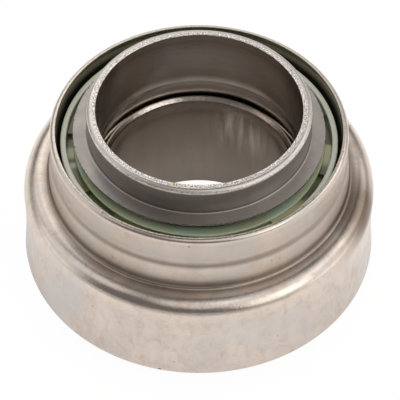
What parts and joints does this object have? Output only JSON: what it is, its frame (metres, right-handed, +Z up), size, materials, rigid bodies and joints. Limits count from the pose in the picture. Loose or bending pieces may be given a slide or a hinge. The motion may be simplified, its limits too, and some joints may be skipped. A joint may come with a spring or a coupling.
{
  "type": "ball bearing with guide sleeve",
  "caption": "Drawn-steel angular-contact ball bearing: stepped shell, caged ball row in its neck, turning collar inside and a plain guide sleeve standing out below.",
  "frame": {"origin": "centre of the guide sleeve's lower end, which the part stands on", "axes": "+Z up along the bearing's axis, from the skirt to the collar"},
  "size_m": [0.0478, 0.0478, 0.0282],
  "materials": {
    "drawn_steel": "tumbled",
    "ring_steel": "drawn",
    "cage_nylon": "satin",
    "ball_steel": "polished"
  },
  "bodies": {
    "shell": {"outer_shell": "drawn_steel", "carrier_disc": "drawn_steel", "guide_sleeve": "ring_steel"},
    "ring": {"inner_ring": "ring_steel", "shield_washer": "ring_steel"},
    "cage": {"ball_cage": "cage_nylon"},
    "ball_01": {"ball_01": "ball_steel"},
    "ball_02": {"ball_02": "ball_steel"},
    "ball_03": {"ball_03": "ball_steel"},
    "ball_04": {"ball_04": "ball_steel"},
    "ball_05": {"ball_05": "ball_steel"},
    "ball_06": {"ball_06": "ball_steel"},
    "ball_07": {"ball_07": "ball_steel"},
    "ball_08": {"ball_08": "ball_steel"},
    "ball_09": {"ball_09": "ball_steel"},
    "ball_10": {"ball_10": "ball_steel"}
  },
  "joints": [
    {"name": "ring_turn", "type": "hinge", "parent": "shell", "child": "ring", "pos_m": [0, 0, 0.01913], "axis": [0, 0, 1], "continuous": true},
    {"name": "cage_turn", "type": "hinge", "parent": "shell", "child": "cage", "pos_m": [0, 0, 0.01913], "axis": [0, 0, 1], "continuous": true},
    {"name": "ball_01_roll", "type": "hinge", "parent": "cage", "child": "ball_01", "pos_m": [0.00679, -0.01526, 0.01913], "axis": [-0.2722, 0.6113, 0.7431], "continuous": true},
    {"name": "ball_02_roll", "type": "hinge", "parent": "cage", "child": "ball_02", "pos_m": [0.01446, -0.00835, 0.01913], "axis": [-0.5795, 0.3346, 0.7431], "continuous": true},
    {"name": "ball_03_roll", "type": "hinge", "parent": "cage", "child": "ball_03", "pos_m": [0.01661, 0.00175, 0.01913], "axis": [-0.6655, -0.0699, 0.7431], "continuous": true},
    {"name": "ball_04_roll", "type": "hinge", "parent": "cage", "child": "ball_04", "pos_m": [0.01241, 0.01117, 0.01913], "axis": [-0.4973, -0.4477, 0.7431], "continuous": true},
    {"name": "ball_05_roll", "type": "hinge", "parent": "cage", "child": "ball_05", "pos_m": [0.00347, 0.01633, 0.01913], "axis": [-0.1391, -0.6545, 0.7431], "continuous": true},
    {"name": "ball_06_roll", "type": "hinge", "parent": "cage", "child": "ball_06", "pos_m": [-0.00679, 0.01526, 0.01913], "axis": [0.2722, -0.6113, 0.7431], "continuous": true},
    {"name": "ball_07_roll", "type": "hinge", "parent": "cage", "child": "ball_07", "pos_m": [-0.01446, 0.00835, 0.01913], "axis": [0.5795, -0.3346, 0.7431], "continuous": true},
    {"name": "ball_08_roll", "type": "hinge", "parent": "cage", "child": "ball_08", "pos_m": [-0.01661, -0.00175, 0.01913], "axis": [0.6655, 0.0699, 0.7431], "continuous": true},
    {"name": "ball_09_roll", "type": "hinge", "parent": "cage", "child": "ball_09", "pos_m": [-0.01241, -0.01117, 0.01913], "axis": [0.4973, 0.4477, 0.7431], "continuous": true},
    {"name": "ball_10_roll", "type": "hinge", "parent": "cage", "child": "ball_10", "pos_m": [-0.00347, -0.01633, 0.01913], "axis": [0.1391, 0.6545, 0.7431], "continuous": true}
  ],
  "couplings": [
    {"joint": "cage_turn", "follows": "ring_turn", "ratio": 0.45883},
    {"joint": "ball_01_roll", "follows": "ring_turn", "ratio": -4.4826},
    {"joint": "ball_02_roll", "follows": "ring_turn", "ratio": -4.4826},
    {"joint": "ball_03_roll", "follows": "ring_turn", "ratio": -4.4826},
    {"joint": "ball_04_roll", "follows": "ring_turn", "ratio": -4.4826},
    {"joint": "ball_05_roll", "follows": "ring_turn", "ratio": -4.4826},
    {"joint": "ball_06_roll", "follows": "ring_turn", "ratio": -4.4826},
    {"joint": "ball_07_roll", "follows": "ring_turn", "ratio": -4.4826},
    {"joint": "ball_08_roll", "follows": "ring_turn", "ratio": -4.4826},
    {"joint": "ball_09_roll", "follows": "ring_turn", "ratio": -4.4826},
    {"joint": "ball_10_roll", "follows": "ring_turn", "ratio": -4.4826}
  ]
}
